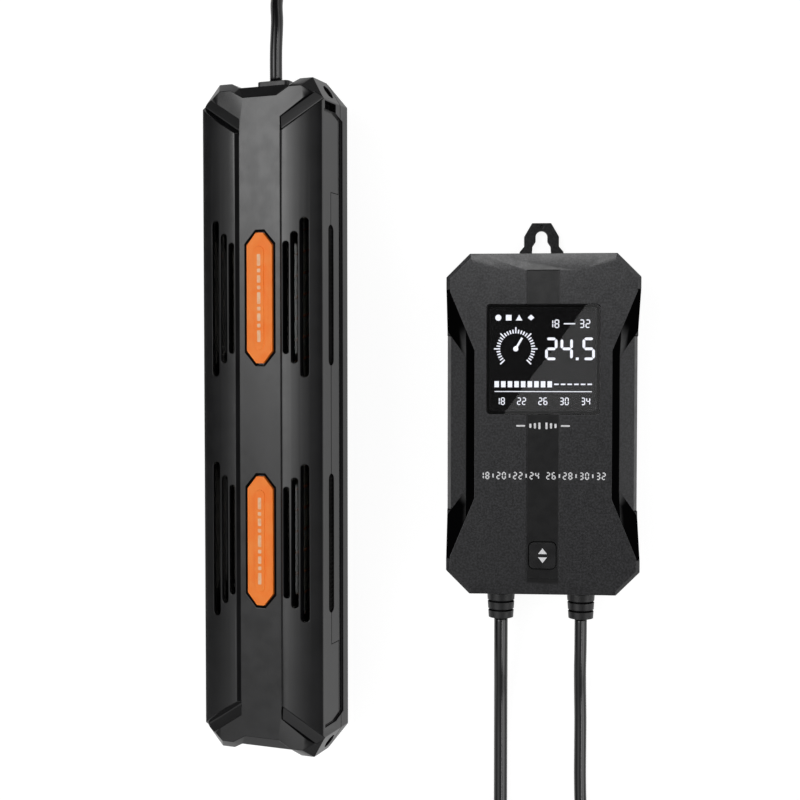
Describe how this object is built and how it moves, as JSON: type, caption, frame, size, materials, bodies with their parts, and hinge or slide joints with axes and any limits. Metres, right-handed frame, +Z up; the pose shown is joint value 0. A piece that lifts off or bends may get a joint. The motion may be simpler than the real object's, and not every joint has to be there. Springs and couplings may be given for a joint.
{
  "type": "submersible aquarium heater",
  "caption": "Submersible aquarium heater in a slotted black guard with orange badges and suction cups, wired to a flat controller with a display, button, hanging tab, mains lead and plug.",
  "frame": {"origin": "on the table, under the centre of the box around the heater and the controller together, leads and plug left out", "axes": "+Z up out of the table, +Y along the heater towards its lead, +X from the heater to the controller"},
  "size_m": [0.2718, 0.5076, 0.0424],
  "materials": {
    "guard_plastic": "gloss",
    "orange_plastic": "satin",
    "quartz": "clear",
    "ceramic": "matt",
    "heating_alloy": "drawn wire",
    "stopper_rubber": "matt",
    "cap_plastic": "matt",
    "probe_steel": "satin",
    "screw_steel": "satin",
    "gland_plastic": "satin",
    "cup_rubber": "satin",
    "case_plastic": "fine texture",
    "gasket_rubber": "matt",
    "display_lens": "gloss",
    "display_panel": "gloss",
    "tray_plastic": "matt",
    "circuit_board": "satin",
    "component_plastic": "matt",
    "relay_plastic": "satin",
    "transformer": "satin",
    "capacitor_sleeve": "gloss",
    "fuse_glass": "clear",
    "terminal_plastic": "satin",
    "button_plastic": "fine texture",
    "relief_rubber": "satin",
    "core_insulation": "satin",
    "lead_rubber": "satin",
    "tie_plastic": "satin",
    "plug_plastic": "satin",
    "pin_metal": "plated"
  },
  "bodies": {
    "heater_and_controller": {"front_guard": "guard_plastic", "rear_guard": "guard_plastic", "upper_badge": "orange_plastic", "lower_badge": "orange_plastic", "left_quartz_tube": "quartz", "right_quartz_tube": "quartz", "left_ceramic_core": "ceramic", "right_ceramic_core": "ceramic", "left_heating_wire": "heating_alloy", "right_heating_wire": "heating_alloy", "left_tube_stopper": "stopper_rubber", "right_tube_stopper": "stopper_rubber", "top_cap": "cap_plastic", "bottom_cap": "cap_plastic", "temperature_probe": "probe_steel", "thermal_fuse": "ceramic", "lead_gland": "gland_plastic", "guard_screws": "screw_steel", "controller_front_cover": "case_plastic", "controller_rear_cover": "case_plastic", "cover_gasket": "gasket_rubber", "display_window": "display_lens", "lcd_panel": "display_panel", "lcd_tray": "tray_plastic", "display_board": "circuit_board", "main_board": "circuit_board", "board_connector": "component_plastic", "tact_switch": "component_plastic", "relay": "relay_plastic", "power_module": "transformer", "capacitor": "capacitor_sleeve", "mains_fuse": "fuse_glass", "terminal_block": "terminal_plastic", "buzzer": "component_plastic", "left_cord_relief": "relief_rubber", "right_cord_relief": "relief_rubber", "lead_tails": "core_insulation", "cover_screws": "screw_steel", "board_screws": "screw_steel", "heater_lead_top": "lead_rubber", "heater_lead_coil": "lead_rubber", "heater_lead_end": "lead_rubber", "heater_lead_tie": "tie_plastic", "mains_lead_start": "lead_rubber", "mains_lead_coil": "lead_rubber", "mains_lead_end": "lead_rubber", "mains_lead_tie": "tie_plastic", "plug_body": "plug_plastic", "plug_relief": "plug_plastic", "plug_pins": "pin_metal"},
    "button": {"set_button": "button_plastic"},
    "upper_cup": {"upper_suction_cup": "cup_rubber"},
    "lower_cup": {"lower_suction_cup": "cup_rubber"}
  },
  "joints": [
    {"name": "set_button_press", "type": "slide", "parent": "heater_and_controller", "child": "button", "axis": [0, 0, -1], "range_m": [0, 0.0008], "stiffness_N_per_m": 800},
    {"name": "upper_cup_tilt", "type": "hinge", "parent": "heater_and_controller", "child": "upper_cup", "pos_m": [-0.05952, 0.10335, 0.01004], "axis": [0, 1, 0], "range_deg": [-37, 3]},
    {"name": "lower_cup_tilt", "type": "hinge", "parent": "heater_and_controller", "child": "lower_cup", "pos_m": [-0.05952, -0.10465, 0.01004], "axis": [0, 1, 0], "range_deg": [-37, 3]}
  ]
}
